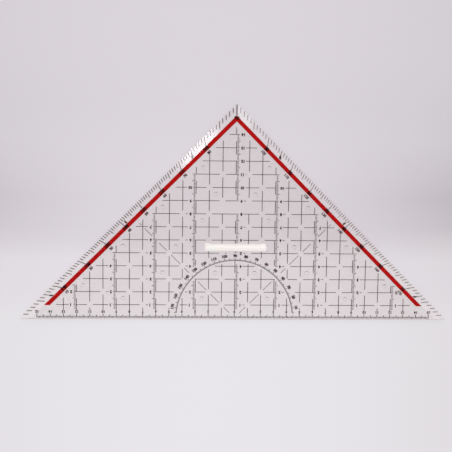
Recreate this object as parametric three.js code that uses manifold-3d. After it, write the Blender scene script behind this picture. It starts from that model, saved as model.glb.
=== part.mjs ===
// Drafting triangle: a clear right-angled set square with printed scales and a lift-off grip.
// It lies flat with its printed side down. +X runs along the ruling edge, +Y to the apex, +Z up.
// All lengths are in millimetres. The model is drawn from the zero mark of the centimetre scale
// and then moved, so that its own origin is the middle of its footprint, at the table top.

import * as THREE from "three";
import { mergeVertices } from "three/addons/utils/BufferGeometryUtils.js";
import Module from "manifold-3d";

const wasm = await Module();
wasm.setup();

// Plate
const overallLength = 325; // tip to tip along the ruling edge
const zeroToEdge = 0.8; // from the zero mark out to the ruling edge
const tipRadius = 0.68;
const apexRadius = 0.3;
const plateThickness = 2.5;
const facetWidth = 6.1; // measured square to the leg
const edgeThickness = 1.0; // what the facets leave standing at the legs
const outlineSegments = 6; // sides of each round corner
const cutOverrun = 5;

// Spacer nubs under the plate, which keep the print off wet ink
const nubDiameter = 3;
const nubHeight = 0.5;
const nubSides = 12;
// Their places for the right half, across and up: each has its mirror image on the left, and each
// nub stands in the middle of the grid square that its place falls in.
// Inside the protractor, as shares of its radius
const innerNubShares = [
  [0.34, 0.79],
  [0.57, 0.34],
];
// Outside it, as shares of the reach of the legs
const outerNubShares = [
  [0.34, 0.215],
  [0.277, 0.34],
  [0.154, 0.46],
  [0.092, 0.584],
  [0.154, 0.707],
  [0.34, 0.523],
  [0.523, 0.34],
  [0.523, 0.092],
  [0.707, 0.154],
];

// Lift-off handle
const handleLength = 46.4;
const handleFromZero = 55; // how far its centre line lies above the zero mark
const gripThickness = 4.3;
const gripHeight = 11;
const gripCornerRadius = 2.2;
const gripEdgeRounding = 1.2;
const gripSegments = 3;
const footLength = 4.6;
const footWidth = 6.4;
const footHeight = 1.6;
const footCornerRadius = 0.8;
const pinDiameter = 3.6;
const pinClearance = 0.1; // all round the pin in its hole
const pinRecess = 0.3; // from the underside of the plate up to the pin's end
const pinSides = 24;

// Print
const inkThickness = 0.05;
const gridPitch = 10;
const gridToStripe = 3.42; // from the ends of the grid lines to the red stripe
const gridFoot = 5.6; // lowest point of the upright grid lines
const gridLineWidth = 0.3;
const gridHalfTick = 2.9; // length of the half-centimetre ticks on the upright scales
const firstTickShare = 1.5; // height of the lowest of them, as a share of the grid pitch
const columnGap = 0.5; // between two neighbouring columns of the grid
const scalePitch = 30; // from one upright scale to the next

const scaleEndMargin = 10; // least length of the ruling edge that stays bare at each tip
const tickWidth = 0.25;
const tickPitch = 5;
const scaleInset = 0.2; // from the ruling edge in to the scale
const scaleSpine = 0.2; // hairline that carries the ticks
const halfTick = 2.8;
const wholeTick = 3.6;

const degreeInset = 0.15; // from the leg in to its scale
const degreeSpine = 0.2;
const halfDegreeTick = 4.4;
const stripeClearance = 0.15; // from a ten-degree tick to the red stripe
const stripeInset = 6.15;
const stripeWidth = 2.7;
const stripeFoot = 9.5; // where the stripe is cut off level, above the zero mark

const arcInnerRadius = 44.2;
const arcWidth = 0.9;
const arcTick = 1.2;
const arcClearance = 0.4;

// Angles in degrees
const degreePitch = 5;
const degreeEndMargin = 0.5;
const rightAngle = 90;
const legAngle = 45;

// Worked out from the sizes above
const rootTwo = Math.SQRT2;
const sharpHalfLength = overallLength / 2 + tipRadius * rootTwo;
const legReach = sharpHalfLength - zeroToEdge; // |x| + y of the legs
const apexTop = legReach - apexRadius * (rootTwo - 1);
const plateBottom = nubHeight;
const plateTop = plateBottom + plateThickness;
const facetSlope = (plateThickness - edgeThickness) / facetWidth;
const pinCentre = (handleLength - footLength) / 2;
const originShift = (apexTop - zeroToEdge) / 2;
const inkBottom = plateBottom - inkThickness;
const stripeOuter = legReach - stripeInset * rootTwo; // |x| + y of the stripe's two edges
const stripeInner = stripeOuter - stripeWidth * rootTwo;
const gridReach = stripeInner - gridToStripe * rootTwo; // |x| + y where the grid lines end
const outerColumn = Math.floor((gridReach - gridPitch) / scalePitch); // scales on each side

// A geometry as a solid for joining and cutting.
function solidOf(geometry) {
  const bare = geometry.clone();
  bare.deleteAttribute("normal");
  bare.deleteAttribute("uv");
  const merged = mergeVertices(bare);
  return new wasm.Manifold(
    new wasm.Mesh({
      numProp: 3,
      vertProperties: new Float32Array(merged.attributes.position.array),
      triVerts: new Uint32Array(merged.index.array),
    }),
  );
}

// A solid back as a geometry with flat faces.
function geometryOf(solid) {
  const mesh = solid.getMesh();
  const indexed = new THREE.BufferGeometry();
  indexed.setAttribute("position", new THREE.BufferAttribute(mesh.vertProperties, 3));
  indexed.setIndex(new THREE.BufferAttribute(mesh.triVerts, 1));
  const geometry = indexed.toNonIndexed();
  geometry.computeVertexNormals();
  return geometry;
}

function joined(solids) {
  return solids.reduce((whole, next) => whole.add(next));
}

// A flat outline raised from one height to another.
function raised(shape, bottom, top, curveSegments) {
  const depth = top - bottom;
  const geometry = new THREE.ExtrudeGeometry(shape, { depth, bevelEnabled: false, curveSegments });
  return geometry.translate(0, 0, bottom);
}

function bar(x0, x1, y0, y1, z0, z1) {
  const box = new THREE.BoxGeometry(x1 - x0, y1 - y0, z1 - z0);
  return box.translate((x0 + x1) / 2, (y0 + y1) / 2, (z0 + z1) / 2);
}

// An upright round peg on the point (x, y).
function peg(radius, x, y, bottom, top, sides) {
  const cylinder = new THREE.CylinderGeometry(radius, radius, top - bottom, sides);
  return cylinder.rotateX(Math.PI / 2).translate(x, y, (bottom + top) / 2);
}

// Rounds off the corner between two edges whose outward normals point at these angles.
function roundCorner(shape, x, y, radius, fromDegrees, toDegrees) {
  const from = THREE.MathUtils.degToRad(fromDegrees);
  const to = THREE.MathUtils.degToRad(toDegrees);
  shape.absarc(x, y, radius, from, to, false);
}

// Plate outline: a right-angled triangle whose legs meet the ruling edge at 45 degrees.
function plateOutline() {
  const shape = new THREE.Shape();
  const tipX = overallLength / 2 - tipRadius;
  const tipY = tipRadius - zeroToEdge;
  const apexY = apexTop - apexRadius;
  roundCorner(shape, tipX, tipY, tipRadius, -rightAngle, legAngle);
  roundCorner(shape, 0, apexY, apexRadius, legAngle, rightAngle + legAngle);
  roundCorner(shape, -tipX, tipY, tipRadius, rightAngle + legAngle, 3 * rightAngle);
  shape.closePath();
  return shape;
}

// What the facet takes off one leg: a long wedge along the leg, seen end on as (inset, height).
function facetCutter(side) {
  const end = new THREE.Shape();
  const out = -cutOverrun;
  end.moveTo(facetWidth, plateTop);
  end.lineTo(facetWidth, plateTop + cutOverrun);
  end.lineTo(out, plateTop + cutOverrun);
  end.lineTo(out, plateTop - (facetWidth + cutOverrun) * facetSlope);
  end.closePath();
  const length = sharpHalfLength * rootTwo + 2 * cutOverrun;
  const wedge = new THREE.ExtrudeGeometry(end, { depth: length, bevelEnabled: false });
  wedge.translate(0, 0, -length / 2);
  const inward = new THREE.Vector3(-side, -1, 0).normalize();
  const up = new THREE.Vector3(0, 0, 1);
  const along = new THREE.Vector3().crossVectors(inward, up);
  const place = new THREE.Matrix4().makeBasis(inward, up, along);
  const middle = (sharpHalfLength - zeroToEdge * 2) / 2;
  place.setPosition((side * sharpHalfLength) / 2, middle, 0);
  return wedge.applyMatrix4(place);
}

// The middle of the grid square that a distance from the zero mark falls in.
function squareMiddle(distance) {
  return Math.floor(distance / gridPitch) * gridPitch + gridPitch / 2;
}

function nubs(placeShares, reach) {
  const middle = plateBottom + plateThickness / 2;
  const pegs = [];
  for (const [acrossShare, upShare] of placeShares) {
    const x = squareMiddle(acrossShare * reach);
    const y = squareMiddle(upShare * reach);
    for (const side of [-1, 1]) {
      pegs.push(solidOf(peg(nubDiameter / 2, side * x, y, 0, middle, nubSides)));
    }
  }
  return joined(pegs);
}

function plateGeometry() {
  let solid = solidOf(raised(plateOutline(), plateBottom, plateTop, outlineSegments));
  for (const side of [-1, 1]) {
    solid = solid.subtract(solidOf(facetCutter(side)));
  }
  solid = solid.add(nubs(innerNubShares, arcInnerRadius)).add(nubs(outerNubShares, legReach));
  const holeRadius = pinDiameter / 2 + pinClearance;
  for (const side of [-1, 1]) {
    const x = side * pinCentre;
    const hole = peg(holeRadius, x, handleFromZero, -cutOverrun, plateTop + cutOverrun, pinSides);
    solid = solid.subtract(solidOf(hole));
  }
  return geometryOf(solid);
}

// A rectangle with round corners about the origin.
function roundedRectangle(width, height, radius) {
  const shape = new THREE.Shape();
  const x = width / 2 - radius;
  const y = height / 2 - radius;
  roundCorner(shape, x, y, radius, 0, rightAngle);
  roundCorner(shape, -x, y, radius, rightAngle, 2 * rightAngle);
  roundCorner(shape, -x, -y, radius, 2 * rightAngle, 3 * rightAngle);
  roundCorner(shape, x, -y, radius, 3 * rightAngle, 4 * rightAngle);
  shape.closePath();
  return shape;
}

// The grip is a bar on edge with all its edges rounded. Its lower part is cut off level.
function gripSolid() {
  const buried = gripCornerRadius + gripEdgeRounding;
  const width = handleLength - 2 * gripEdgeRounding;
  const height = gripHeight + buried - 2 * gripEdgeRounding;
  const bevel = {
    bevelEnabled: true,
    bevelSize: gripEdgeRounding,
    bevelThickness: gripEdgeRounding,
    bevelSegments: gripSegments,
    curveSegments: gripSegments,
  };
  const depth = gripThickness - 2 * gripEdgeRounding;
  const side = roundedRectangle(width, height, gripCornerRadius);
  const grip = new THREE.ExtrudeGeometry(side, { ...bevel, depth });
  grip.translate(0, 0, -depth / 2).rotateX(Math.PI / 2);
  grip.translate(0, handleFromZero, plateTop + (gripHeight - buried) / 2);
  const half = handleLength / 2 + cutOverrun;
  const front = handleFromZero - gripThickness / 2 - cutOverrun;
  const back = handleFromZero + gripThickness / 2 + cutOverrun;
  const below = bar(-half, half, front, back, plateTop - buried - cutOverrun, plateTop);
  return solidOf(grip).subtract(solidOf(below));
}

function handleGeometry() {
  const parts = [gripSolid()];
  for (const side of [-1, 1]) {
    const x = side * pinCentre;
    const foot = raised(
      roundedRectangle(footLength, footWidth, footCornerRadius),
      plateTop,
      plateTop + footHeight,
      gripSegments,
    );
    parts.push(solidOf(foot.translate(x, handleFromZero, 0)));
    const pinEnd = plateBottom + pinRecess;
    const pinRoot = plateTop + footHeight / 2;
    parts.push(solidOf(peg(pinDiameter / 2, x, handleFromZero, pinEnd, pinRoot, pinSides)));
  }
  return geometryOf(joined(parts));
}

function polygonShape(points) {
  return new THREE.Shape(points.map(([x, y]) => new THREE.Vector2(x, y)));
}

// An ink layer against the underside of the plate.
function inkLayer(shape) {
  return raised(shape, inkBottom, plateBottom, 1);
}

function redStripeGeometry() {
  return inkLayer(
    polygonShape([
      [stripeFoot - stripeOuter, stripeFoot],
      [stripeFoot - stripeInner, stripeFoot],
      [0, stripeInner],
      [stripeInner - stripeFoot, stripeFoot],
      [stripeOuter - stripeFoot, stripeFoot],
      [0, stripeOuter],
    ]),
  );
}

// Ruling edge: one comb with a tick at every half centimetre, longer at the whole ones.
function baseScaleGeometry() {
  const bottom = scaleInset - zeroToEdge;
  const spineTop = bottom + scaleSpine;
  const count = 2 * Math.floor((overallLength / 2 - scaleEndMargin) / (2 * tickPitch));
  const end = count * tickPitch + tickWidth / 2;
  const points = [
    [-end, bottom],
    [end, bottom],
  ];
  for (let i = count; i >= -count; i -= 1) {
    const length = i % 2 === 0 ? wholeTick : halfTick;
    const x = i * tickPitch;
    const right = x + tickWidth / 2;
    const left = x - tickWidth / 2;
    if (i < count) points.push([right, spineTop]);
    points.push([right, bottom + length], [left, bottom + length]);
    if (i > -count) points.push([left, spineTop]);
  }
  return inkLayer(polygonShape(points));
}

// An ink layer of four-sided patches, each given by its corners in turn. Patches that meet share
// corners, and a side that only one patch has gets a wall.
function inkOfPatches(patches) {
  const corners = [...new Set(patches.flat())];
  const places = new Map(corners.map((corner, i) => [corner, i]));
  const up = corners.length;
  const sides = new Set();
  const triangles = [];
  for (const patch of patches) {
    const [a, b, c, d] = patch.map((corner) => places.get(corner));
    triangles.push(a + up, b + up, c + up, a + up, c + up, d + up, a, c, b, a, d, c);
    for (const side of [[a, b], [b, c], [c, d], [d, a]]) sides.add(side.join());
  }
  for (const side of sides) {
    const [a, b] = side.split(",").map(Number);
    if (!sides.has(`${b},${a}`)) triangles.push(a, b, b + up, a, b + up, a + up);
  }
  const points = [inkBottom, plateBottom].flatMap((z) => corners.flatMap(([x, y]) => [x, y, z]));
  const indexed = new THREE.BufferGeometry();
  indexed.setAttribute("position", new THREE.Float32BufferAttribute(points, 3));
  indexed.setIndex(triangles);
  const geometry = indexed.toNonIndexed();
  geometry.computeVertexNormals();
  return geometry;
}

// Leg: ticks that point to the zero mark, on a hairline. Every second one reaches to the stripe.
// It is drawn with its leg level, above the zero mark, and turned about that mark when placed.
function legScaleGeometry() {
  const top = legReach / rootTwo - degreeInset;
  const bottom = top - degreeSpine;
  const spread = bottom * Math.tan(THREE.MathUtils.degToRad(legAngle - degreeEndMargin));
  const patches = [];
  let topCorner = [-spread, top];
  let bottomCorner = [-spread, bottom];
  for (let degrees = degreePitch; degrees < rightAngle; degrees += degreePitch) {
    const long = degrees % (2 * degreePitch) === 0;
    const tip = long ? stripeOuter / rootTwo + stripeClearance : top - halfDegreeTick;
    const angle = THREE.MathUtils.degToRad(degrees - legAngle);
    const half = tickWidth / 2 / Math.cos(angle);
    const slope = Math.tan(angle);
    const left = bottom * slope - half;
    const right = bottom * slope + half;
    const topLeft = [left, top];
    const topRight = [right, top];
    const bottomLeft = [left, bottom];
    const bottomRight = [right, bottom];
    const tipLeft = [tip * slope - half, tip];
    const tipRight = [tip * slope + half, tip];
    patches.push([bottomCorner, bottomLeft, topLeft, topCorner]);
    patches.push([bottomLeft, bottomRight, topRight, topLeft]);
    patches.push([tipLeft, tipRight, bottomRight, bottomLeft]);
    topCorner = topRight;
    bottomCorner = bottomRight;
  }
  patches.push([bottomCorner, [spread, bottom], [spread, top], topCorner]);
  return inkOfPatches(patches);
}

function arcPoint(radius, degrees, shift = 0) {
  const angle = THREE.MathUtils.degToRad(degrees);
  const x = radius * Math.cos(angle) - shift * Math.sin(angle);
  const y = radius * Math.sin(angle) + shift * Math.cos(angle);
  return [x, y];
}

// Protractor band from 5 to 175 degrees, with a tick outside it at every 5 degrees.
function arcShape() {
  const points = [];
  const last = 2 * rightAngle - degreePitch;
  const outer = arcInnerRadius + arcWidth;
  const half = tickWidth / 2;
  for (let degrees = last; degrees >= degreePitch; degrees -= degreePitch) {
    points.push(arcPoint(arcInnerRadius, degrees));
  }
  for (let degrees = degreePitch; degrees <= last; degrees += degreePitch) {
    if (degrees > degreePitch) points.push(arcPoint(outer, degrees, -half));
    points.push(arcPoint(outer + arcTick, degrees, degrees > degreePitch ? -half : 0));
    points.push(arcPoint(outer + arcTick, degrees, degrees < last ? half : 0));
    if (degrees < last) points.push(arcPoint(outer, degrees, half));
  }
  return polygonShape(points);
}

function gridBar(x0, x1, y0, y1) {
  const half = gridLineWidth / 2;
  return solidOf(bar(x0 - half, x1 + half, y0 - half, y1 + half, inkBottom, plateBottom));
}

// Half the width that a circle round the zero mark takes up at a distance from its middle.
function halfChord(radius, distance) {
  return Math.sqrt(Math.max(0, radius ** 2 - distance ** 2));
}

// Grid lines at every centimetre between two upright limits, cut off towards the legs. A level
// line is left out where no upright line outside the given circle would carry it.
function gridLines(low, high, circle) {
  const uprights = [];
  for (let x = Math.ceil(low / gridPitch) * gridPitch; x <= high; x += gridPitch) {
    if (gridReach - Math.abs(x) > gridPitch) uprights.push(x);
  }
  const lines = uprights.map((x) => gridBar(x, x, gridFoot, gridReach - Math.abs(x)));
  for (let y = gridPitch; y < gridReach; y += gridPitch) {
    const reach = gridReach - y;
    const blocked = halfChord(circle, y);
    const carriers = uprights.filter((x) => Math.abs(x) <= reach && Math.abs(x) >= blocked);
    if (carriers.length) lines.push(gridBar(Math.max(low, -reach), Math.min(high, reach), y, y));
  }
  return joined(lines);
}

// Half-centimetre ticks on one upright scale, on its side away from the middle.
function scaleTicks(x, bottom, top) {
  const end = x + (x < 0 ? -gridHalfTick : gridHalfTick);
  const ticks = [];
  for (let y = gridPitch * firstTickShare; y < top; y += gridPitch) {
    if (y > bottom) ticks.push(gridBar(Math.min(x, end), Math.max(x, end), y, y));
  }
  return ticks;
}

function disc(radius) {
  const steps = (4 * rightAngle) / degreePitch;
  return solidOf(peg(radius, 0, 0, inkBottom - cutOverrun, plateBottom + cutOverrun, steps));
}

// One column of the grid round an upright scale, kept clear of the protractor.
function gridColumnGeometry(column) {
  const x = column * scalePitch;
  const half = (scalePitch - columnGap - gridLineWidth) / 2;
  const clearRadius = arcInnerRadius + arcWidth + arcTick + arcClearance;
  const lines = gridLines(x - half, x + half, clearRadius);
  const ticks = scaleTicks(x, halfChord(clearRadius, x), gridReach - Math.abs(x));
  return geometryOf(joined([lines, ...ticks]).subtract(disc(clearRadius)));
}

// The protractor's arc and what of the grid lies inside it.
function protractorGeometry() {
  const inner = arcInnerRadius + arcWidth / 2;
  const lines = [gridLines(-inner, inner, 0)];
  for (const x of [-scalePitch, 0, scalePitch]) {
    lines.push(...scaleTicks(x, 0, halfChord(inner - gridHalfTick, x)));
  }
  return geometryOf(solidOf(inkLayer(arcShape())).add(joined(lines).intersect(disc(inner))));
}

// Finishes
const clearAcrylic = new THREE.MeshStandardMaterial({
  color: 0xdfe4e6,
  roughness: 0.08,
  metalness: 0,
  transparent: true,
  opacity: 0.35,
});
const creamPlastic = { color: 0xf4f0e6, roughness: 0.45, metalness: 0 };
const redInk = { color: 0xc00d08, roughness: 0.5, metalness: 0 };
const blackInk = { color: 0x1c1a1d, roughness: 0.5, metalness: 0 };

const triangle = new THREE.Group();
triangle.name = "drafting_triangle";
triangle.position.y = -originShift;

function addPiece(name, geometry, material, turnDegrees = 0) {
  const mesh = new THREE.Mesh(geometry, material);
  mesh.name = name;
  mesh.rotation.z = THREE.MathUtils.degToRad(turnDegrees);
  triangle.add(mesh);
}

function opaque(look) {
  return new THREE.MeshStandardMaterial(look);
}

addPiece("plate", plateGeometry(), clearAcrylic);
addPiece("handle", handleGeometry(), opaque(creamPlastic));
addPiece("red_edge_stripe", redStripeGeometry(), opaque(redInk));
addPiece("base_scale_print", baseScaleGeometry(), opaque(blackInk));
addPiece("leg_scale_print_left", legScaleGeometry(), opaque(blackInk), legAngle);
addPiece("leg_scale_print_right", legScaleGeometry(), opaque(blackInk), -legAngle);
addPiece("protractor_print", protractorGeometry(), opaque(blackInk));
for (let column = -outerColumn; column <= outerColumn; column += 1) {
  const side = column < 0 ? "m" : "p";
  const name = `grid_print_${side}${Math.abs(column)}`;
  addPiece(name, gridColumnGeometry(column), opaque(blackInk));
}

const part = new THREE.Group();
part.add(triangle);
export default part;
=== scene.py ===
# Drafting triangle: a clear set square with its print under the plate and a lift-off grip.
# The frame is the part's own, in metres: +X along the ruling edge, +Y to the apex, +Z up.
# Named lengths are in millimetres where nothing else is said.
# The print is laid out from the zero mark of the centimetre scale.

import math

import bmesh
import bpy
from mathutils import Matrix, Quaternion, Vector


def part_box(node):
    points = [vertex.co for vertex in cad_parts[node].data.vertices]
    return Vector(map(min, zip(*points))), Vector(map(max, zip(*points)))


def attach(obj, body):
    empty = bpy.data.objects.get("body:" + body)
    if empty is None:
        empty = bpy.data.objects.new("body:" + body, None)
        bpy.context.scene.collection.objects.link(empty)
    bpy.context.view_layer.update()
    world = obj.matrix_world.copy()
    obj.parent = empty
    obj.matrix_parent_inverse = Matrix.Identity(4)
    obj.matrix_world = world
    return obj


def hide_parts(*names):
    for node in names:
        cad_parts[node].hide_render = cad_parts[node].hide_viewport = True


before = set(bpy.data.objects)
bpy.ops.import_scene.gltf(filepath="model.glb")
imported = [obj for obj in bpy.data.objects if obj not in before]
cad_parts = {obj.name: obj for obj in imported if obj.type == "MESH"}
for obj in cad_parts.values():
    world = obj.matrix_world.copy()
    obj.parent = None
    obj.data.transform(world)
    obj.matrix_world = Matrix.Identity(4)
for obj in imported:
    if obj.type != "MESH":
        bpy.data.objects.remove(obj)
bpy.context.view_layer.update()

MM = 0.001
CM = 10
ROOT_TWO = math.sqrt(2)
# Left and right
SIDES = (-1, 1)
# Angles in degrees
QUARTER_TURN = 90
HALF_TURN = 180

# Plate
ZERO_TO_EDGE = 0.8
TIP_RADIUS = 0.68
APEX_RADIUS = 0.3
TIP_SIDES = 16
ROUND_SIDES = 64
FACET_WIDTH = 6.1
EDGE_THICKNESS = 1.0
HOLE_CLEARANCE = 0.1
# How far the cutters stand past the plate
OVERRUN = 5.0

# Spacer nubs under the plate
NUB_RADIUS = 1.5
NUB_ROUNDING = 0.22
NUB_ROUNDING_SIDES = 6
# How far a nub reaches up into the plate before the two are joined
NUB_SINK = 1.0
# Places on the right half, in centimetres. The left half mirrors them
NUB_PLACES = [
    (1.5, 3.5), (2.5, 1.5), (5.5, 3.5), (4.5, 5.5), (2.5, 7.5), (1.5, 9.5),
    (2.5, 11.5), (5.5, 8.5), (8.5, 5.5), (8.5, 1.5), (11.5, 2.5),
]
# The part of a nub's rim that is painted with shade on its side towards the apex, and that painted
# shade's darkness as a share of the ruling edge's
NUB_RIM_WIDTH = 0.5
NUB_RIM_SHADE_REACH = 0.4
NUB_RIM_SHADE_SHARE = 0.5

# Handle
HANDLE_Y = 55.0
HANDLE_LENGTH = 46.4
GRIP_THICKNESS = 4.3
# The fin stands a little off the middle of its feet
GRIP_SHIFT = 0.3
GRIP_HEIGHT = 11.0
GRIP_CORNER = 2.8
GRIP_ROUNDING = 1.6
GRIP_STEPS = 8
FOOT_LENGTH = 4.6
FOOT_WIDTH = 5.6
FOOT_HEIGHT = 1.6
FOOT_CORNER = 0.8
FOOT_ROUNDING = 0.35
FOOT_STEPS = 6
CORNER_SIDES = 8
PIN_RADIUS = 1.8
PIN_CHAMFER = 0.3
PIN_X = (HANDLE_LENGTH - FOOT_LENGTH) / 2
SMOOTH_ANGLE = 30

# Print
# A hair of air lies between the plate and the ink, and the black ink covers the red
BLACK_GAP = 0.01
RED_GAP = 0.02

# Line widths
# The degree marks of the left leg are heavier than those of the right one
GRID_LINE = 0.455
LEVEL_LINE = 0.4
DIAGONAL_LINE = 0.34
TICK_LINE = 0.51
DEGREE_LINES = {-1: 0.54, 1: 0.42}
COMB_LINE = 0.4

# Centimetre grid
GRID_FOOT = 5.6
GRID_REACH = 145.3
CROSSING_GAP = 2.3
LAST_OPEN_CROSSING = 12
LAST_UPRIGHT = 13
LAST_ROW = 14
# Room for the protractor, between two radii, and a place without print
RING_LOW = 42.8
RING_HIGH = 50.4
BARE_LOW = 80.0
BARE_HIGH = 92.0
# Stretches of the 45 degree guides, as distances across
DIAGONALS = [
    (3.8, 8.5), (11.5, 18.5), (21.5, 28.0), (35.0, 38.5),
    (41.5, 48.5), (51.5, 57.5), (62.8, 68.5), (71.0, 72.5),
]

# Numbers
# A weight is how far the outline is spread, as a share of the type size
NUMBER_HEIGHT = 2.2
NUMBER_WEIGHT = 0.05
NUMBER_RESOLUTION = 3
# Points of an outline that are nearer than this share of the type size are merged
NUMBER_WELD = 0.0005
# Points where it turns less than this angle, in radians, are left out
NUMBER_FLAT_ANGLE = 0.02

# Scale of the ruling edge
BASE_HALF_LENGTH = 150
BASE_TICK_FOOT = -0.2
BASE_TICKS = {1: 1.25, 5: 2.2, 10: 3.0}
BASE_NUMBER_Y = 4.5

# Legs
# An inset is a distance in from the leg's edge
LEG_TURN = 45
DEGREE_INSET = 0.12
DEGREE_TICKS = {1: 3.0, 5: 4.6, 10: 6.1}
# The lowest degree marks sit a little nearer the tips
LOW_DEGREE_DROP = 0.2
LOW_DEGREE_END = 18
STRIPE_INSET = 6.2
STRIPE_WIDTH = 3.0
STRIPE_FOOT = 9.5
NUMBERED_DEGREES = range(10, QUARTER_TURN, 10)
STRIPE_NUMBER_INSET = 7.5
STRIPE_NUMBER_HEIGHT = 2.9
STRIPE_NUMBER_WEIGHT = 0.08
APEX_LINE = 0.6
APEX_LINE_END = 0.35
APEX_NUMBER_HEIGHT = 3.0
APEX_NUMBER_WEIGHT = 0.065
LEG_NUMBER_INSET = 11.1
LEG_NUMBER_HEIGHT = 2.3
LEG_NUMBER_WEIGHTS = {-1: 0.055, 1: 0.045}
# The numbers stand beside their rays, clear of the grid
LEG_NUMBER_ANGLES = [8.87, 19.2, 29.6, 40.05, 49.9, 60.25, 70.65, 80.8]
# The wedges' rays and the half width of each, in degrees
WEDGES = {7: 0.27, 41.5: 0.35, 75: 0.42}
WEDGE_TIP = 2.8
WEDGE_SHOULDER = 4.5
WEDGE_FOOT = 6.0

# Upright scales
# One stands every third centimetre: a dashed line with a comb of ticks beside it
SCALE_STEP = 3
SCALE_COLUMNS = range(-4, 5)
DASH_START = 5
DASH_LENGTH = 10
DASH_STEP = 15
# The middle one starts with a longer dash and leaves room for the arc
MIDDLE_DASH_END = 30
MIDDLE_ARC_GAP = (45.2, 50.0)
COMB_FOOT = 7
COMB_NEAR = 0.6
COMB_TICKS = {1: 1.9, 5: 3.0}
COMB_RING_LOW = 41.5
COMB_BARE = (80.5, 89.5)
COMB_REACH = {0: 140, 3: 110, 6: 80, 9: 50, 12: 25}
# The level line breaks off between these distances where a number stands, by its count of figures
NUMBER_GAP_START = 2.4
NUMBER_GAP_END = {1: 6.0, 2: 7.1}
SCALE_NUMBER_HEIGHT = 2.35
SCALE_NUMBER_WEIGHT = 0.065
# From an upright scale's line to its numbers' near side, and to the middle of its slim 1
COMB_NUMBER = {-1: 3.3, 1: 3.65}
COMB_ONE = {-1: 4.5, 1: 4.2}
COMB_NUMBER_DROP = 0.2
# Numbers between these radii give way to the arc
NUMBER_RING = (41.8, 49.4)
# The topmost number of an upright scale gives way to the number beside the leg
COMB_LAST_NUMBER = {0: 14, 3: 10, 6: 7, 9: 4, 12: 2}
# Half lengths of the rows that end at an upright scale
COMB_LAST_ROW = {11: 32.7, 8: 62.7, 5: 92.7, 2: 122.7}

# Protractor arc
# Ticks are given by the radius of their far ends
ARC_INNER = 44.3
ARC_LINE = 0.3
ARC_DEGREES = range(5, 176)
ARC_TICK_LINE = 0.38
ARC_TICKS = {1: 45.3, 5: 46.2, 10: 46.5}
ARC_NUMBER_RADIUS = 48.1
ARC_NUMBER_HEIGHT = 2.4
ARC_NUMBER_WEIGHT = 0.065
# How far a number leans back from its ray, in degrees, by its count of figures
ARC_NUMBER_LEAN = {2: 0.1, 3: 0.6}

# Looks
# A ramp is a list of positions and colours, where a single number is a grey
# A noise is its scale and its detail. Heights of bumps and depths of scatter are in metres
ACRYLIC_IOR = 1.49
ACRYLIC_CLOUD = (18, 3)
ACRYLIC_TINTS = [(0.3, (1, 0.963, 0.945)), (0.7, (1, 0.969, 0.953))]
SCRATCHES = (60, 2)
SCRATCH_STRETCH = (1, 40, 1)
SCRATCH_TURN = 35
SCRATCH_ROUGHNESS = [(0.62, 0.03), (0.75, 0.07)]
WAVES = (25, 1)
WAVE_HEIGHT = 0.000008
# Painted shade, tone and clearness by the rim attribute: 0 is the clear body and 1 the ruling edge,
# painted darkest and least clear
RIM_PAINTED_SHADE_TONES = [(0.0, 1), (NUB_RIM_SHADE_SHARE, (0.56, 0.51, 0.53)), (1.0, (0.48, 0.38, 0.40))]
RIM_SHADE_CLEARNESS = [(0.0, 1), (NUB_RIM_SHADE_SHARE, 0.35), (1.0, 0.3)]

CREAM_CLOUD = (40, 3)
CREAM_TINTS = [(0.3, (0.88, 0.84, 0.80)), (0.7, (0.905, 0.868, 0.828))]
GRAIN = (2500, 2)
GRAIN_ROUGHNESS = [(0.3, 0.38), (0.7, 0.5)]
GRAIN_HEIGHT = 0.00003
GRAIN_STRENGTH = 0.4
CREAM_SCATTER = 0.1
CREAM_SCATTER_DEPTH = (0.002, 0.0015, 0.001)

INK_CLOUD = (600, 4)
RED_INK = [(0.35, (0.44, 0.0012, 0.0008)), (0.65, (0.50, 0.0025, 0.0018))]
DARK_INK = [(0.35, (0.030, 0.0012, 0.001)), (0.65, (0.055, 0.002, 0.0016))]
BLACK_INK = [(0.35, (0.035, 0.008, 0.001)), (0.65, (0.055, 0.016, 0.004))]
INK_FILM = (3000, 2)
INK_ROUGHNESS = [(0.3, 0.5), (0.7, 0.7)]
INK_FILM_HEIGHT = 0.000004
INK_GLOSS = 0.02

# Floor
# Its tones are painted light: bright at the zero mark and darker away to FLOOR_DEPTH
FLOOR_HALF = 4000
FLOOR_DROP = 0.05
FLOOR_DEPTH = 200.0
FLOOR_PAINTED_LIGHT_TONES = [
    (0.0, (0.825, 0.806, 0.847)), (0.1, (0.797, 0.768, 0.81)), (0.22, (0.795, 0.763, 0.806)),
    (0.3, (0.744, 0.707, 0.751)), (0.55, (0.742, 0.703, 0.748)), (0.8, (0.712, 0.674, 0.718)),
]
# Painted shade to the sides grows with the square of the distance from its centre line, and is
# deepest partway back
FLOOR_SHADE_CENTRE = -25.0
FLOOR_SHADE_REACH = 190.0
FLOOR_SHADE_POWER = 2
FLOOR_PAINTED_SHADE_TINTS = [
    (0.15, (0.93, 0.92, 0.91)), (0.23, (0.92, 0.91, 0.90)), (0.30, (0.87, 0.86, 0.85)),
    (0.35, (0.78, 0.77, 0.77)), (0.46, (0.72, 0.71, 0.715)), (0.68, (0.87, 0.87, 0.86)),
    (1.0, (0.93, 0.93, 0.92)),
]
FIBRES = (900, 5)
FIBRE_SHARE = 0.03
FLOOR_ROUGHNESS = 0.9
FLOOR_GLOSS = 0.1
FLOOR_SEEN_SHARE = 0.8

# The sky's tone by height: pale at the horizon, brightest well above it, dim straight overhead
WORLD_TONES = [
    (0.0, (0.72, 0.715, 0.72)), (0.45, (0.75, 0.745, 0.75)), (0.72, (0.95, 0.94, 0.95)),
    (0.88, (0.95, 0.94, 0.95)), (0.94, 0.05),
]
WORLD_STRENGTH = 1.41
# How much stronger it is from behind the apex, and weaker from the front
WORLD_LEAN = 0.28

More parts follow.
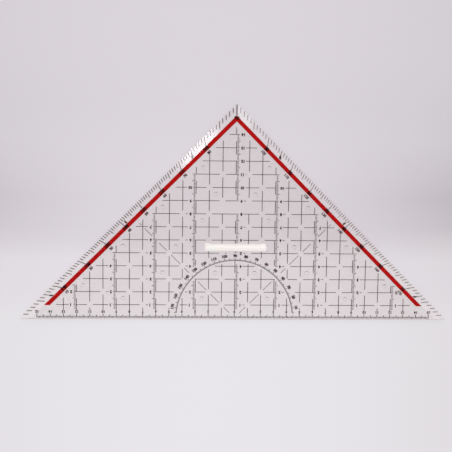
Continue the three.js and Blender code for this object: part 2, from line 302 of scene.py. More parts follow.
# Strip lamps that the facets mirror
# Their distance, width and lengths are in metres
STRIP_DISTANCE = 1.5
STRIP_WIDTH = 0.1
STRIP_INSET = 3.0
STRIP_AIM_DEPTH = 1
STRIP_FADE = [(0.0, 0), (0.35, 1), (0.65, 1), (1.0, 0)]
# Side, distance across of the spot that mirrors it, direction from there, length, radiance
STRIPS = {
    "strip_left": (-1, 29.0, (-0.3142, 0.2848, 0.9056), 0.16, 9.0),
    "strip_right": (1, 5.0, (0.3866, 0.3101, 0.8685), 0.08, 2.6),
}

# Light runs far inside the clear plate before it comes out
LIGHT_BOUNCES = 32

# Camera, as found from the printed marks of the photograph
# Its place is given from the zero mark, and its turn is an axis times an angle in degrees
CAMERA_PLACE = (-40.97, 165.42, 752.77)
CAMERA_TURN = (-7.1797, -2.5265, 0.5521)
CAMERA_LENS = 79.8
CAMERA_SENSOR = 36

# Sizes that come from the frame
# The plate's box reaches down to its nubs, so the ink's top gives the plate's underside
plate_low, plate_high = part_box("plate")
ink_low, ink_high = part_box("grid_print_p0")
handle_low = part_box("handle")[0]
HALF_LENGTH = plate_high.x / MM
PLATE_TOP = plate_high.z / MM
PLATE_BOTTOM = ink_high.z / MM
INK_BOTTOM = ink_low.z / MM
ZERO_Y = plate_low.y + ZERO_TO_EDGE * MM
LEG_REACH = HALF_LENGTH + TIP_RADIUS * ROOT_TWO - ZERO_TO_EDGE
PIN_END = handle_low.z / MM


def place(x, y, z=0.0):
    """A point given in millimetres from the zero mark, in the part's frame."""
    return Vector((x * MM, ZERO_Y + y * MM, z * MM))


# Solids


def mesh_of(bm, name):
    bmesh.ops.recalc_face_normals(bm, faces=bm.faces)
    mesh = bpy.data.meshes.new(name)
    bm.to_mesh(mesh)
    bm.free()
    return mesh


def add_object(name, mesh):
    obj = bpy.data.objects.new(name, mesh)
    bpy.context.scene.collection.objects.link(obj)
    return obj


def evaluated_mesh(obj):
    bpy.context.view_layer.update()
    return bpy.data.meshes.new_from_object(obj.evaluated_get(bpy.context.evaluated_depsgraph_get()))


def join_rings(bm, near, far):
    """A band of faces between two rings of as many points."""
    for i in range(len(near)):
        j = (i + 1) % len(near)
        bm.faces.new((near[i], near[j], far[j], far[i]))


def prism(bm, outline, bottom, top):
    """A closed prism on a level outline."""
    low = [bm.verts.new(place(x, y, bottom)) for x, y in outline]
    high = [bm.verts.new(place(x, y, top)) for x, y in outline]
    bm.faces.new(low[::-1])
    bm.faces.new(high)
    join_rings(bm, low, high)


def turned(bm, x, y, profile):
    """A closed round solid about an upright axis. The profile starts and ends on the axis."""
    rings = []
    for radius, z in profile[1:-1]:
        ring = []
        for i in range(ROUND_SIDES):
            angle = 2 * math.pi * i / ROUND_SIDES
            point = place(x + radius * math.cos(angle), y + radius * math.sin(angle), z)
            ring.append(bm.verts.new(point))
        rings.append(ring)
    foot = bm.verts.new(place(x, y, profile[0][1]))
    top = bm.verts.new(place(x, y, profile[-1][1]))
    for i in range(ROUND_SIDES):
        j = (i + 1) % ROUND_SIDES
        bm.faces.new((foot, rings[0][j], rings[0][i]))
        bm.faces.new((top, rings[-1][i], rings[-1][j]))
        for low, high in zip(rings, rings[1:]):
            bm.faces.new((low[i], low[j], high[j], high[i]))


def arc_points(x, y, radius, start, end, sides):
    points = []
    for i in range(sides + 1):
        angle = math.radians(start + (end - start) * i / sides)
        points.append((x + radius * math.cos(angle), y + radius * math.sin(angle)))
    return points


def combined(mesh, other, operation):
    """The mesh joined with the other one, or with it cut away."""
    first = add_object("first", mesh)
    second = add_object("second", other)
    step = first.modifiers.new("combine", "BOOLEAN")
    step.operation = operation
    step.solver = "EXACT"
    step.object = second
    result = evaluated_mesh(first)
    for obj in (first, second):
        old = obj.data
        bpy.data.objects.remove(obj)
        bpy.data.meshes.remove(old)
    return result


def facet_cutter(side):
    """The wedge that a leg's facet takes off, seen end on as (inset, height)."""
    slope = (PLATE_TOP - PLATE_BOTTOM - EDGE_THICKNESS) / FACET_WIDTH
    foot = PLATE_TOP - (FACET_WIDTH + OVERRUN) * slope
    above = PLATE_TOP + OVERRUN
    end = [(FACET_WIDTH, PLATE_TOP), (FACET_WIDTH, above), (-OVERRUN, above), (-OVERRUN, foot)]
    bm = bmesh.new()
    rings = []
    for along in (-LEG_REACH, LEG_REACH):
        ring = []
        for inset, height in end:
            out = LEG_REACH / ROOT_TWO - inset
            x = side * (out + along) / ROOT_TWO
            y = (out - along) / ROOT_TWO
            ring.append(bm.verts.new(place(x, y, height)))
        rings.append(ring)
    bm.faces.new(rings[0])
    bm.faces.new(rings[1][::-1])
    join_rings(bm, *rings)
    return mesh_of(bm, "facet_cutter")


def plate_mesh():
    """The clear plate with its facets, nubs and holes, as one solid."""
    tip_x = HALF_LENGTH - TIP_RADIUS
    tip_y = TIP_RADIUS - ZERO_TO_EDGE
    apex_y = LEG_REACH - APEX_RADIUS * ROOT_TWO
    outline = arc_points(tip_x, tip_y, TIP_RADIUS, -90, 45, TIP_SIDES)
    outline += arc_points(0, apex_y, APEX_RADIUS, 45, 135, TIP_SIDES)
    outline += arc_points(-tip_x, tip_y, TIP_RADIUS, 135, 270, TIP_SIDES)
    body = bmesh.new()
    prism(body, outline, PLATE_BOTTOM, PLATE_TOP)
    mesh = mesh_of(body, "plate")
    for side in SIDES:
        mesh = combined(mesh, facet_cutter(side), "DIFFERENCE")
    rounding = [
        (NUB_RADIUS - NUB_ROUNDING + x, NUB_ROUNDING + z)
        for x, z in arc_points(0, 0, NUB_ROUNDING, -90, 0, NUB_ROUNDING_SIDES)
    ]
    top = PLATE_BOTTOM + NUB_SINK
    profile = [(0, 0), (NUB_RADIUS - NUB_RIM_WIDTH, 0)] + rounding + [(NUB_RADIUS, top), (0, top)]
    nubs = bmesh.new()
    for across, up in NUB_PLACES:
        for side in SIDES:
            turned(nubs, side * across * CM, up * CM, profile)
    mesh = combined(mesh, mesh_of(nubs, "nubs"), "UNION")
    radius = PIN_RADIUS + HOLE_CLEARANCE
    low = PLATE_BOTTOM - OVERRUN
    high = PLATE_TOP + OVERRUN
    holes = bmesh.new()
    for side in SIDES:
        turned(holes, side * PIN_X, HANDLE_Y, [(0, low), (radius, low), (radius, high), (0, high)])
    mesh = combined(mesh, mesh_of(holes, "holes"), "DIFFERENCE")
    shade_rims(mesh)
    return mesh


def shade_rims(mesh):
    """Notes on each face how much painted shade it takes: on the ruling edge and on the nubs' rims,
    on their side towards the apex.
    """
    shade = mesh.attributes.new("rim", "FLOAT", "FACE")
    nubs = [place(side * x * CM, y * CM) for x, y in NUB_PLACES for side in SIDES]
    for face, item in zip(mesh.polygons, shade.data):
        if face.center.y < ZERO_Y and face.normal.y < 0 and face.center.z > PLATE_BOTTOM * MM:
            item.value = abs(face.normal.y)
        elif face.center.z < (PLATE_BOTTOM - RED_GAP) * MM:
            offset = min(((face.center - nub).xy for nub in nubs), key=lambda v: v.length)
            outside = offset.length > (NUB_RADIUS - NUB_RIM_WIDTH) * MM
            if outside and offset.y > NUB_RIM_SHADE_REACH * NUB_RADIUS * MM:
                item.value = NUB_RIM_SHADE_SHARE


def grip_mesh():
    """The grip's fin: a bar on edge, rounded at its two upper corners and along all its edges."""
    half = HANDLE_LENGTH / 2
    corner_x = half - GRIP_CORNER
    corner_z = PLATE_TOP + GRIP_HEIGHT - GRIP_CORNER
    bm = bmesh.new()
    rings = []
    for i in [*range(-GRIP_STEPS, 0), *range(1, GRIP_STEPS + 1)]:
        angle = math.pi / 2 * i / GRIP_STEPS
        inset = GRIP_ROUNDING * (1 - math.cos(angle))
        y = math.copysign(GRIP_THICKNESS / 2 - GRIP_ROUNDING, i) + GRIP_ROUNDING * math.sin(angle)
        radius = GRIP_CORNER - inset
        outline = [(half - inset, PLATE_TOP)]
        outline += arc_points(corner_x, corner_z, radius, 0, 90, CORNER_SIDES)
        outline += arc_points(-corner_x, corner_z, radius, 90, 180, CORNER_SIDES)
        outline += [(-half + inset, PLATE_TOP)]
        rings.append([bm.verts.new(place(px, HANDLE_Y + GRIP_SHIFT + y, pz)) for px, pz in outline])
    bm.faces.new(rings[0])
    bm.faces.new(rings[-1][::-1])
    for near, far in zip(rings, rings[1:]):
        join_rings(bm, near, far)
    return mesh_of(bm, "grip")


def foot_mesh(side):
    """A foot of the handle, with its upright corners rounded and its upper edges softened."""
    top = PLATE_TOP + FOOT_HEIGHT
    levels = [(0.0, PLATE_TOP)]
    for i in range(FOOT_STEPS + 1):
        angle = math.pi / 2 * i / FOOT_STEPS
        inset = FOOT_ROUNDING * (1 - math.cos(angle))
        levels.append((inset, top - FOOT_ROUNDING + FOOT_ROUNDING * math.sin(angle)))
    bm = bmesh.new()
    rings = []
    for inset, z in levels:
        radius = FOOT_CORNER - inset
        x = FOOT_LENGTH / 2 - inset - radius
        y = FOOT_WIDTH / 2 - inset - radius
        outline = []
        for sx, sy, start in ((1, 1, 0), (-1, 1, 90), (-1, -1, 180), (1, -1, 270)):
            outline += arc_points(sx * x, sy * y, radius, start, start + 90, CORNER_SIDES)
        rings.append([bm.verts.new((px * MM, py * MM, z * MM)) for px, py in outline])
    bm.faces.new(rings[0][::-1])
    bm.faces.new(rings[-1])
    for low, high in zip(rings, rings[1:]):
        join_rings(bm, low, high)
    bmesh.ops.translate(bm, verts=bm.verts, vec=place(side * PIN_X, HANDLE_Y))
    return mesh_of(bm, "foot")


def handle_mesh():
    """The grip with its two feet and two pins, as one solid."""
    top = PLATE_TOP + FOOT_HEIGHT / 2
    profile = [
        (0, PIN_END), (PIN_RADIUS - PIN_CHAMFER, PIN_END), (PIN_RADIUS, PIN_END + PIN_CHAMFER),
        (PIN_RADIUS, top), (0, top),
    ]
    mesh = grip_mesh()
    for side in SIDES:
        mesh = combined(mesh, foot_mesh(side), "UNION")
        pin = bmesh.new()
        turned(pin, side * PIN_X, HANDLE_Y, profile)
        mesh = combined(mesh, mesh_of(pin, "pin"), "UNION")
    return mesh


# Print: every mark is a pair (points, faces) in millimetres from the zero mark


def line(x0, y0, x1, y1, width):
    length = math.hypot(x1 - x0, y1 - y0)
    across = (y1 - y0) / length * width / 2
    up = (x1 - x0) / length * width / 2
    points = [
        (x0 + across, y0 - up), (x1 + across, y1 - up),
        (x1 - across, y1 + up), (x0 - across, y0 + up),
    ]
    return points, [(0, 1, 2, 3)]


def spans(low, high, gaps):
    """What is left of the stretch from low to high without the gaps."""
    left = []
    start = low
    for gap_low, gap_high in sorted(gaps):
        if gap_low > start:
            left.append((start, min(gap_low, high)))
        start = max(start, gap_high)
    left.append((start, high))
    return [(a, b) for a, b in left if b - a > GRID_LINE]


def tick_kind(count):
    """10 for every tenth tick, 5 for the fifth ones between them and 1 for the rest."""
    if count % 10 == 0:
        return 10
    return 5 if count % 5 == 0 else 1


glyphs = {}


def glyph(text, weight):
    """A number's outline as (points, faces), one unit high and centred on the origin."""
    if (text, weight) not in glyphs:
        curve = bpy.data.curves.new("number", "FONT")
        curve.body = text
        curve.size = 1
        curve.resolution_u = NUMBER_RESOLUTION
        curve.offset = weight
        obj = add_object("number", curve)
        mesh = evaluated_mesh(obj)
        bm = bmesh.new()
        bm.from_mesh(mesh)
        bmesh.ops.remove_doubles(bm, verts=bm.verts, dist=NUMBER_WELD)
        bmesh.ops.dissolve_limit(bm, angle_limit=NUMBER_FLAT_ANGLE, verts=bm.verts, edges=bm.edges)
        bm.verts.index_update()
        points = [(v.co.x, v.co.y) for v in bm.verts]
        faces = [tuple(v.index for v in face.verts) for face in bm.faces]
        bm.free()
        bpy.data.objects.remove(obj)
        bpy.data.meshes.remove(mesh)
        bpy.data.curves.remove(curve)
        xs = [x for x, y in points]
        ys = [y for x, y in points]
        middle = ((min(xs) + max(xs)) / 2, (min(ys) + max(ys)) / 2)
        height = max(ys) - min(ys)
        shape = [((x - middle[0]) / height, (y - middle[1]) / height) for x, y in points]
        glyphs[text, weight] = shape, faces
    return glyphs[text, weight]


def number(value, x, y, turn, height, weight):
    points, faces = glyph(str(value), weight)
    cos = math.cos(math.radians(turn)) * height
    sin = math.sin(math.radians(turn)) * height
    return [(x + px * cos - py * sin, y + px * sin + py * cos) for px, py in points], faces


def number_width(value):
    """How wide a number is at the size of the ruling edge's numbers."""
    points = glyph(str(value), NUMBER_WEIGHT)[0]
    return NUMBER_HEIGHT * 2 * max(x for x, y in points)


def print_mesh(marks, gap, name):
    """The marks as one mesh of thin closed solids that end just under the plate."""
    bm = bmesh.new()
    for points, faces in marks:
        verts = [bm.verts.new(place(x, y, INK_BOTTOM)) for x, y in points]
        for face in faces:
            bm.faces.new([verts[i] for i in face])
    bmesh.ops.recalc_face_normals(bm, faces=bm.faces)
    lifted = bmesh.ops.extrude_face_region(bm, geom=bm.faces[:], use_keep_orig=True)
    moved = [item for item in lifted["geom"] if isinstance(item, bmesh.types.BMVert)]
    bmesh.ops.translate(bm, verts=moved, vec=(0, 0, (PLATE_BOTTOM - gap - INK_BOTTOM) * MM))
    return mesh_of(bm, name)


def open_crossing(across, up):
    reach = abs(across) + up
    return reach % 2 == 0 and reach <= LAST_OPEN_CROSSING and across % SCALE_STEP != 0


def ring_gap(offset, low=RING_LOW):
    """Where a grid line at that distance from the middle leaves room for the protractor."""
    if abs(offset) >= RING_HIGH:
        return []
    return [(math.sqrt(max(low**2 - offset**2, 0)), math.sqrt(RING_HIGH**2 - offset**2))]


def upright_lines():
    marks = []
    for across in range(-LAST_UPRIGHT, LAST_UPRIGHT + 1):
        if across % SCALE_STEP == 0:
            continue
        gaps = ring_gap(across * CM)
        gaps += [
            (up * CM - CROSSING_GAP, up * CM + CROSSING_GAP)
            for up in range(1, LAST_ROW + 1) if open_crossing(across, up)
        ]
        if abs(across) == 1:
            gaps.append((BARE_LOW, BARE_HIGH))
        for low, high in spans(GRID_FOOT, GRID_REACH - abs(across) * CM, gaps):
            marks.append(line(across * CM, low, across * CM, high, GRID_LINE))
    return marks


def level_lines():
    marks = []
    for up in range(1, LAST_ROW + 1):
        y = up * CM
        reach = COMB_LAST_ROW.get(up, GRID_REACH - y)
        gaps = []
        for across in range(-LAST_UPRIGHT, LAST_UPRIGHT + 1):
            if open_crossing(across, up):
                gaps.append((across * CM - CROSSING_GAP, across * CM + CROSSING_GAP))
            if across % SCALE_STEP == 0 and up <= COMB_LAST_NUMBER[abs(across)]:
                side = -1 if across < 0 else 1
                near = across * CM + side * NUMBER_GAP_START
                far = across * CM + side * NUMBER_GAP_END[len(str(up))]
                gaps.append((min(near, far), max(near, far)))
        for low, high in ring_gap(y):
            gaps += [(low, high), (-high, -low)]
        for low, high in spans(-reach, reach, gaps):
            marks.append(line(low, y, high, y, LEVEL_LINE))
    return marks


def diagonal_lines():
    marks = []
    for low, high in DIAGONALS:
        for side in SIDES:
            marks.append(line(side * low, low, side * high, high, DIAGONAL_LINE))
    return marks


def scale_dashes(across):
    """The dashed line of an upright scale, from its foot up."""
    top = GRID_REACH - abs(across) * CM
    dashes = []
    low = DASH_START
    while low < top:
        dashes.append((max(low, GRID_FOOT), min(low + DASH_LENGTH, top)))
        low += DASH_STEP
    gaps = ring_gap(across * CM)
    if across == 0:
        dashes[:2] = [(GRID_FOOT, MIDDLE_DASH_END)]
        dashes = [dash for dash in dashes if dash[0] != BARE_LOW]
        gaps = [MIDDLE_ARC_GAP]
    marks = []
    for low, high in dashes:
        for a, b in spans(low, high, gaps):
            marks.append(line(across * CM, a, across * CM, b, GRID_LINE))
    return marks


def upright_scale(across):
    """A dashed line with its comb of ticks, and its numbers upside down."""
    marks = scale_dashes(across)
    side = -1 if across < 0 else 1
    x = across * CM
    near = x + side * COMB_NEAR
    gaps = ring_gap(near, COMB_RING_LOW)
    if across == 0:
        gaps.append(COMB_BARE)
    for mm in range(COMB_FOOT, COMB_REACH[abs(across)] + 1):
        kind = tick_kind(mm)
        if kind == 10 or any(low < mm < high for low, high in gaps):
            continue
        marks.append(line(near, mm, x + side * COMB_TICKS[kind], mm, COMB_LINE))
    for up in range(1, COMB_LAST_NUMBER[abs(across)] + 1):
        out = COMB_ONE[side] if up == 1 else COMB_NUMBER[side] + number_width(up) / 2
        at = x + side * out
        if across and NUMBER_RING[0] < math.hypot(at, up * CM) < NUMBER_RING[1]:
            continue
        level = up * CM - COMB_NUMBER_DROP
        marks.append(number(up, at, level, HALF_TURN, SCALE_NUMBER_HEIGHT, SCALE_NUMBER_WEIGHT))
    return marks


def base_scale():
    marks = []
    for mm in range(-BASE_HALF_LENGTH, BASE_HALF_LENGTH + 1):
        kind = tick_kind(mm)
        marks.append(line(mm, BASE_TICK_FOOT, mm, BASE_TICKS[kind], TICK_LINE))
        if kind == 10:
            value = abs(mm) // CM
            marks.append(number(value, mm, BASE_NUMBER_Y, HALF_TURN, NUMBER_HEIGHT, NUMBER_WEIGHT))
    return marks


def leg_point(side, degrees, inset):
    """Where a ray from the zero mark comes to that inset from a leg."""
    angle = math.radians(degrees)
    along = (LEG_REACH - inset * ROOT_TWO) / (math.cos(angle) + math.sin(angle))
    return side * along * math.cos(angle), along * math.sin(angle)


def printed_angle(degrees):
    """The ray that a degree mark is printed on."""
    return degrees - LOW_DEGREE_DROP * max(0, 1 - degrees / LOW_DEGREE_END)


def wedge(side, degrees, spread):
    """A drop-shaped mark that points along its ray to the leg's edge."""
    low = degrees - spread
    high = degrees + spread
    points = [
        leg_point(side, degrees, WEDGE_TIP),
        leg_point(side, low, WEDGE_SHOULDER), leg_point(side, low, WEDGE_FOOT),
        leg_point(side, high, WEDGE_FOOT), leg_point(side, high, WEDGE_SHOULDER),
    ]
    return points, [(0, 1, 2, 3, 4)]


def leg_scale(side):
    marks = []
    for degrees in range(1, QUARTER_TURN):
        start = leg_point(side, printed_angle(degrees), DEGREE_INSET)
        end = leg_point(side, printed_angle(degrees), DEGREE_TICKS[tick_kind(degrees)])
        marks.append(line(*start, *end, DEGREE_LINES[side]))
    for degrees, spread in WEDGES.items():
        marks.append(wedge(side, printed_angle(degrees), spread))
    for degrees, angle in zip(NUMBERED_DEGREES, LEG_NUMBER_ANGLES):
        value = degrees if side < 0 else HALF_TURN - degrees
        middle = leg_point(side, angle, LEG_NUMBER_INSET)
        weight = LEG_NUMBER_WEIGHTS[side]
        marks.append(number(value, *middle, -side * LEG_TURN, LEG_NUMBER_HEIGHT, weight))
    return marks


def stripe_numbers():
    """The dark numbers on the red stripe, and the line that runs from it to the apex."""
    marks = []
    height, weight = STRIPE_NUMBER_HEIGHT, STRIPE_NUMBER_WEIGHT
    for side in SIDES:
        for degrees in NUMBERED_DEGREES:
            value = HALF_TURN - degrees if side < 0 else degrees
            middle = leg_point(side, degrees, STRIPE_NUMBER_INSET)
            marks.append(number(value, *middle, -side * LEG_TURN, height, weight))
    apex = LEG_REACH - STRIPE_NUMBER_INSET * ROOT_TWO
    marks.append(number(QUARTER_TURN, 0, apex, 0, APEX_NUMBER_HEIGHT, APEX_NUMBER_WEIGHT))
    foot = LEG_REACH - STRIPE_INSET * ROOT_TWO
    marks.append(line(0, foot, 0, LEG_REACH - APEX_LINE_END * ROOT_TWO, APEX_LINE))
    return marks


def red_stripe():
    outer = LEG_REACH - STRIPE_INSET * ROOT_TWO
    inner = outer - STRIPE_WIDTH * ROOT_TWO
    points = [
        (STRIPE_FOOT - outer, STRIPE_FOOT), (STRIPE_FOOT - inner, STRIPE_FOOT), (0, inner),
        (inner - STRIPE_FOOT, STRIPE_FOOT), (outer - STRIPE_FOOT, STRIPE_FOOT), (0, outer),
    ]
    return [(points, [(0, 1, 2, 5), (5, 2, 3, 4)])]


def ray(radius, degrees):
    angle = math.radians(degrees)
    return radius * math.cos(angle), radius * math.sin(angle)


def protractor():
    """The arc with its ticks and its numbers."""
    marks = []
    points = []
    for degrees in ARC_DEGREES:
        points += [ray(ARC_INNER, degrees), ray(ARC_INNER + ARC_LINE, degrees)]
        kind = tick_kind(degrees)
        start = ray(ARC_INNER + ARC_LINE / 2, degrees)
        marks.append(line(*start, *ray(ARC_TICKS[kind], degrees), ARC_TICK_LINE))
        if kind == 10:
            middle = ray(ARC_NUMBER_RADIUS, degrees - ARC_NUMBER_LEAN[len(str(degrees))])
            turn = degrees - QUARTER_TURN
            marks.append(number(degrees, *middle, turn, ARC_NUMBER_HEIGHT, ARC_NUMBER_WEIGHT))
    count = len(ARC_DEGREES)
    marks.append((points, [(2 * i, 2 * i + 1, 2 * i + 3, 2 * i + 2) for i in range(count - 1)]))
    return marks


# Materials


def material(name):
    made = bpy.data.materials.new(name)
    made.use_nodes = True
    nodes = made.node_tree.nodes
    return made, nodes, made.node_tree.links, nodes["Principled BSDF"]


def rgba(colour):
    """A colour with its alpha. A single number gives a grey."""
    red, green, blue = colour if isinstance(colour, tuple) else (colour, colour, colour)
    return red, green, blue, 1


def ramp(nodes, links, source, stops):
    node = nodes.new("ShaderNodeValToRGB")
    elements = node.color_ramp.elements
    while len(elements) < len(stops):
        elements.new(1.0)
    for element, (position, colour) in zip(elements, stops):
        element.position = position
        element.color = rgba(colour)
    links.new(source, node.inputs["Fac"])
    return node


def texture(nodes, links, scale, detail, stretch=(1, 1, 1), turn=0.0):
    """Noise laid out in the part's own coordinates."""
    where = nodes.new("ShaderNodeTexCoord")
    mapping = nodes.new("ShaderNodeMapping")
    mapping.inputs["Scale"].default_value = stretch
    mapping.inputs["Rotation"].default_value = (0, 0, math.radians(turn))
    noise = nodes.new("ShaderNodeTexNoise")
    noise.inputs["Scale"].default_value = scale
    noise.inputs["Detail"].default_value = detail
    links.new(where.outputs["Object"], mapping.inputs["Vector"])
    links.new(mapping.outputs["Vector"], noise.inputs["Vector"])
    return noise


def bump(nodes, links, shader, source, distance, strength=1.0):
    node = nodes.new("ShaderNodeBump")
    node.inputs["Distance"].default_value = distance
    node.inputs["Strength"].default_value = strength
    links.new(source, node.inputs["Height"])
    links.new(node.outputs["Normal"], shader.inputs["Normal"])


def multiplied(nodes, links, first, second, share=1):
    """One colour multiplied by another one, by that share."""
    node = nodes.new("ShaderNodeMix")
    node.data_type = "RGBA"
    node.blend_type = "MULTIPLY"
    node.inputs["Factor"].default_value = share
    links.new(first, node.inputs["A"])
    links.new(second, node.inputs["B"])
    return node


def calculated(nodes, links, operation, first, second=None, value=None):
    """A calculation on one socket, on two, or on one and a fixed value."""
    node = nodes.new("ShaderNodeMath")
    node.operation = operation
    links.new(first, node.inputs[0])
    if second is not None:
        links.new(second, node.inputs[1])
    if value is not None:
        node.inputs[1].default_value = value
    return node.outputs[0]


def acrylic_material():
    """Clear moulded acrylic: a hardly tinted body, a polished skin with hair scratches, and painted
    shade on the ruling edge and the nubs' rims.
    """
    made, nodes, links, shader = material("clear_acrylic")
    shader.inputs["IOR"].default_value = ACRYLIC_IOR
    shader.inputs["Transmission Weight"].default_value = 1.0
    cloud = texture(nodes, links, *ACRYLIC_CLOUD)
    tint = ramp(nodes, links, cloud.outputs["Fac"], ACRYLIC_TINTS)
    # Painted shade: the rim attribute darkens the tone and lessens the clearness
    rim = nodes.new("ShaderNodeAttribute")
    rim.attribute_name = "rim"
    dark = ramp(nodes, links, rim.outputs["Fac"], RIM_PAINTED_SHADE_TONES)
    body = multiplied(nodes, links, tint.outputs["Color"], dark.outputs["Color"])
    links.new(body.outputs["Result"], shader.inputs["Base Color"])
    clear = ramp(nodes, links, rim.outputs["Fac"], RIM_SHADE_CLEARNESS)
    links.new(clear.outputs["Color"], shader.inputs["Transmission Weight"])
    scratches = texture(nodes, links, *SCRATCHES, SCRATCH_STRETCH, SCRATCH_TURN)
    marks = ramp(nodes, links, scratches.outputs["Fac"], SCRATCH_ROUGHNESS)
    links.new(marks.outputs["Color"], shader.inputs["Roughness"])
    waves = texture(nodes, links, *WAVES)
    bump(nodes, links, shader, waves.outputs["Fac"], WAVE_HEIGHT)
    return made


def handle_material():
    """Cream moulded plastic with a fine satin grain."""
    made, nodes, links, shader = material("cream_plastic")
    cloud = texture(nodes, links, *CREAM_CLOUD)
    tint = ramp(nodes, links, cloud.outputs["Fac"], CREAM_TINTS)
    links.new(tint.outputs["Color"], shader.inputs["Base Color"])
    grain = texture(nodes, links, *GRAIN)
    sheen = ramp(nodes, links, grain.outputs["Fac"], GRAIN_ROUGHNESS)
    links.new(sheen.outputs["Color"], shader.inputs["Roughness"])
    bump(nodes, links, shader, grain.outputs["Fac"], GRAIN_HEIGHT, GRAIN_STRENGTH)
    shader.inputs["Subsurface Weight"].default_value = CREAM_SCATTER
    shader.inputs["Subsurface Radius"].default_value = CREAM_SCATTER_DEPTH
    return made


def ink_material(name, tints):
    """Screen ink: a slightly uneven film with a dull surface."""
    made, nodes, links, shader = material(name)
    cloud = texture(nodes, links, *INK_CLOUD)
    tint = ramp(nodes, links, cloud.outputs["Fac"], tints)
    links.new(tint.outputs["Color"], shader.inputs["Base Color"])
    film = texture(nodes, links, *INK_FILM)
    dull = ramp(nodes, links, film.outputs["Fac"], INK_ROUGHNESS)
    links.new(dull.outputs["Color"], shader.inputs["Roughness"])
    bump(nodes, links, shader, film.outputs["Fac"], INK_FILM_HEIGHT)
    shader.inputs["Specular IOR Level"].default_value = INK_GLOSS
    return made


def floor_material():
    """Pale paper with painted light: brighter in front of the triangle and darker further back, with
    painted shade that falls off a little to the sides.
    """
    made, nodes, links, shader = material("floor")
    where = nodes.new("ShaderNodeTexCoord")
    split = nodes.new("ShaderNodeSeparateXYZ")
    links.new(where.outputs["Object"], split.inputs["Vector"])
    reach = nodes.new("ShaderNodeMapRange")
    reach.inputs["From Min"].default_value = ZERO_Y
    reach.inputs["From Max"].default_value = ZERO_Y + FLOOR_DEPTH * MM
    links.new(split.outputs["Y"], reach.inputs["Value"])
    # Painted light: brighter in front and darker further back
    tint = ramp(nodes, links, reach.outputs["Result"], FLOOR_PAINTED_LIGHT_TONES)
    # Painted shade to the sides, deepest partway back
    wide = nodes.new("ShaderNodeMapRange")
    wide.clamp = False
    wide.inputs["From Min"].default_value = FLOOR_SHADE_CENTRE * MM
    wide.inputs["From Max"].default_value = (FLOOR_SHADE_CENTRE + FLOOR_SHADE_REACH) * MM
    links.new(split.outputs["X"], wide.inputs["Value"])
    distance = calculated(nodes, links, "ABSOLUTE", wide.outputs["Result"])
    square = calculated(nodes, links, "POWER", distance, value=FLOOR_SHADE_POWER)
    fall = nodes.new("ShaderNodeMapRange")
    links.new(square, fall.inputs["Value"])
    shade = ramp(nodes, links, reach.outputs["Result"], FLOOR_PAINTED_SHADE_TINTS)
    sides = multiplied(nodes, links, tint.outputs["Color"], shade.outputs["Color"])
    links.new(fall.outputs["Result"], sides.inputs["Factor"])
    fibres = texture(nodes, links, *FIBRES)
    paper = multiplied(nodes, links, sides.outputs["Result"], fibres.outputs["Color"], FIBRE_SHARE)
    links.new(paper.outputs["Result"], shader.inputs["Base Color"])
    shader.inputs["Roughness"].default_value = FLOOR_ROUGHNESS
    shader.inputs["Specular IOR Level"].default_value = FLOOR_GLOSS
    glow = nodes.new("ShaderNodeEmission")
    links.new(paper.outputs["Result"], glow.inputs["Color"])
    both = nodes.new("ShaderNodeMixShader")
    links.new(seen_share(nodes, links), both.inputs["Fac"])
    links.new(shader.outputs["BSDF"], both.inputs[1])
    links.new(glow.outputs["Emission"], both.inputs[2])
    links.new(both.outputs["Shader"], nodes["Material Output"].inputs["Surface"])
    return made


def seen_share(nodes, links):
    """The share of the paper's tone, painted light included, shown as its own glow where it is seen,
    directly, in gloss or through the plate.
    """
    path = nodes.new("ShaderNodeLightPath")
    found = path.outputs["Is Camera Ray"]
    for kind in ("Is Glossy Ray", "Is Transmission Ray"):
        found = calculated(nodes, links, "MAXIMUM", found, path.outputs[kind])
    return calculated(nodes, links, "MULTIPLY", found, value=FLOOR_SEEN_SHARE)


# Pieces


def dress(name, mesh, look, slot, body, *nodes):
    obj = add_object(name, mesh)
    mesh.materials.clear()
    mesh.materials.append(look)
    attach(obj, body)
    if nodes:
        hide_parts(*nodes)


def smooth(mesh):
    mesh.polygons.foreach_set("use_smooth", [True] * len(mesh.polygons))
    mesh.set_sharp_from_angle(angle=math.radians(SMOOTH_ANGLE))


def add_print(name, marks, look, slot, gap, *nodes):
    dress(name, print_mesh(marks, gap, name), look, slot, "set_square", *nodes)


def make_pieces():
    acrylic = acrylic_material()
    cream = handle_material()
    red = (ink_material("red_ink", RED_INK), "red_ink", RED_GAP)
    dark = (ink_material("stripe_number_ink", DARK_INK), "black_ink", BLACK_GAP)
    black = (ink_material("black_ink", BLACK_INK), "black_ink", BLACK_GAP)

    dress("clear_plate", plate_mesh(), acrylic, "clear_acrylic", "set_square", "plate")
    handle = handle_mesh()
    smooth(handle)
    dress("lift_off_handle", handle, cream, "cream_plastic", "grip", "handle")

    add_print("red_edge_line", red_stripe(), *red, "red_edge_stripe")
    add_print("edge_line_numbers", stripe_numbers(), *dark)
    add_print("ruling_edge_scale", base_scale(), *black, "base_scale_print")
    for side, word in zip(SIDES, ("left", "right")):
        add_print(f"degree_scale_{word}", leg_scale(side), *black, f"leg_scale_print_{word}")
    add_print("protractor_scale", protractor(), *black, "protractor_print")
    add_print("grid_uprights", upright_lines(), *black)
    add_print("grid_levels", level_lines(), *black)
    add_print("diagonal_guides", diagonal_lines(), *black)
    for column in SCALE_COLUMNS:
        word = f"{'m' if column < 0 else 'p'}{abs(column)}"
        marks = upright_scale(column * SCALE_STEP)
        add_print(f"upright_scale_{word}", marks, *black, f"grid_print_{word}")


# Studio


def add_floor():
    bm = bmesh.new()
    corners = [(x * FLOOR_HALF, y * FLOOR_HALF) for x, y in ((-1, -1), (1, -1), (1, 1), (-1, 1))]
    bm.faces.new([bm.verts.new((x * MM, y * MM, -FLOOR_DROP * MM)) for x, y in corners])
    floor = add_object("floor", mesh_of(bm, "floor"))
    floor.data.materials.append(floor_material())


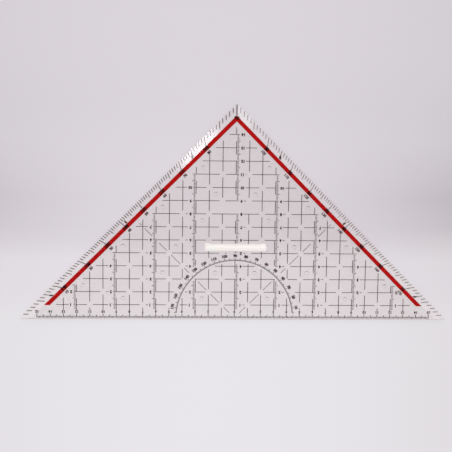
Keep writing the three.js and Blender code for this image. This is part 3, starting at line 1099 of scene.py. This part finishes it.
def add_strip(name, side, along, direction, length, radiance):
    """A strip lamp that shows in a leg's facet, its long side in line with the leg."""
    spot_y = LEG_REACH - along - STRIP_INSET * ROOT_TWO
    target = place(side * along, spot_y, PLATE_TOP - STRIP_AIM_DEPTH)
    leg = Vector((side, -1, 0)).normalized()
    towards = Vector(direction).normalized()
    axis = (leg - towards * leg.dot(towards)).normalized()
    lamp = bpy.data.lights.new(name, "AREA")
    lamp.shape = "RECTANGLE"
    lamp.size = length
    lamp.size_y = STRIP_WIDTH
    lamp.energy = radiance * math.pi * length * STRIP_WIDTH
    lamp.use_nodes = True
    nodes, links = lamp.node_tree.nodes, lamp.node_tree.links
    where = nodes.new("ShaderNodeNewGeometry")
    split = nodes.new("ShaderNodeSeparateXYZ")
    links.new(where.outputs["Parametric"], split.inputs["Vector"])
    fade = ramp(nodes, links, split.outputs["X"], STRIP_FADE)
    fade.color_ramp.interpolation = "EASE"
    links.new(fade.outputs["Color"], nodes["Emission"].inputs["Strength"])
    obj = add_object(name, lamp)
    obj.visible_diffuse = False
    obj.visible_transmission = False
    turn = Matrix((axis, towards.cross(axis), towards)).transposed()
    obj.rotation_mode = "QUATERNION"
    obj.rotation_quaternion = turn.to_quaternion()
    obj.location = target + towards * STRIP_DISTANCE


def add_world():
    world = bpy.data.worlds.new("studio")
    bpy.context.scene.world = world
    world.use_nodes = True
    nodes, links = world.node_tree.nodes, world.node_tree.links
    background = nodes["Background"]
    where = nodes.new("ShaderNodeTexCoord")
    split = nodes.new("ShaderNodeSeparateXYZ")
    links.new(where.outputs["Generated"], split.inputs["Vector"])
    tint = ramp(nodes, links, split.outputs["Z"], WORLD_TONES)
    lean = nodes.new("ShaderNodeMapRange")
    lean.inputs["From Min"].default_value = -1
    lean.inputs["To Min"].default_value = WORLD_STRENGTH * (1 - WORLD_LEAN)
    lean.inputs["To Max"].default_value = WORLD_STRENGTH * (1 + WORLD_LEAN)
    links.new(split.outputs["Y"], lean.inputs["Value"])
    links.new(lean.outputs["Result"], background.inputs["Strength"])
    links.new(tint.outputs["Color"], background.inputs["Color"])


def add_camera():
    data = bpy.data.cameras.new("camera")
    data.sensor_width = CAMERA_SENSOR
    data.lens = CAMERA_LENS
    obj = add_object("camera", data)
    obj.location = place(*CAMERA_PLACE)
    turn = Vector([math.radians(angle) for angle in CAMERA_TURN])
    obj.rotation_mode = "QUATERNION"
    obj.rotation_quaternion = Quaternion(turn.normalized(), turn.length)
    bpy.context.scene.camera = obj


add_camera()
make_pieces()
add_floor()
add_world()
for strip, values in STRIPS.items():
    add_strip(strip, *values)
bpy.context.scene.view_settings.view_transform = "Standard"
cycles = bpy.context.scene.cycles
cycles.blur_glossy = 0
cycles.max_bounces = LIGHT_BOUNCES
cycles.glossy_bounces = LIGHT_BOUNCES
cycles.transmission_bounces = LIGHT_BOUNCES
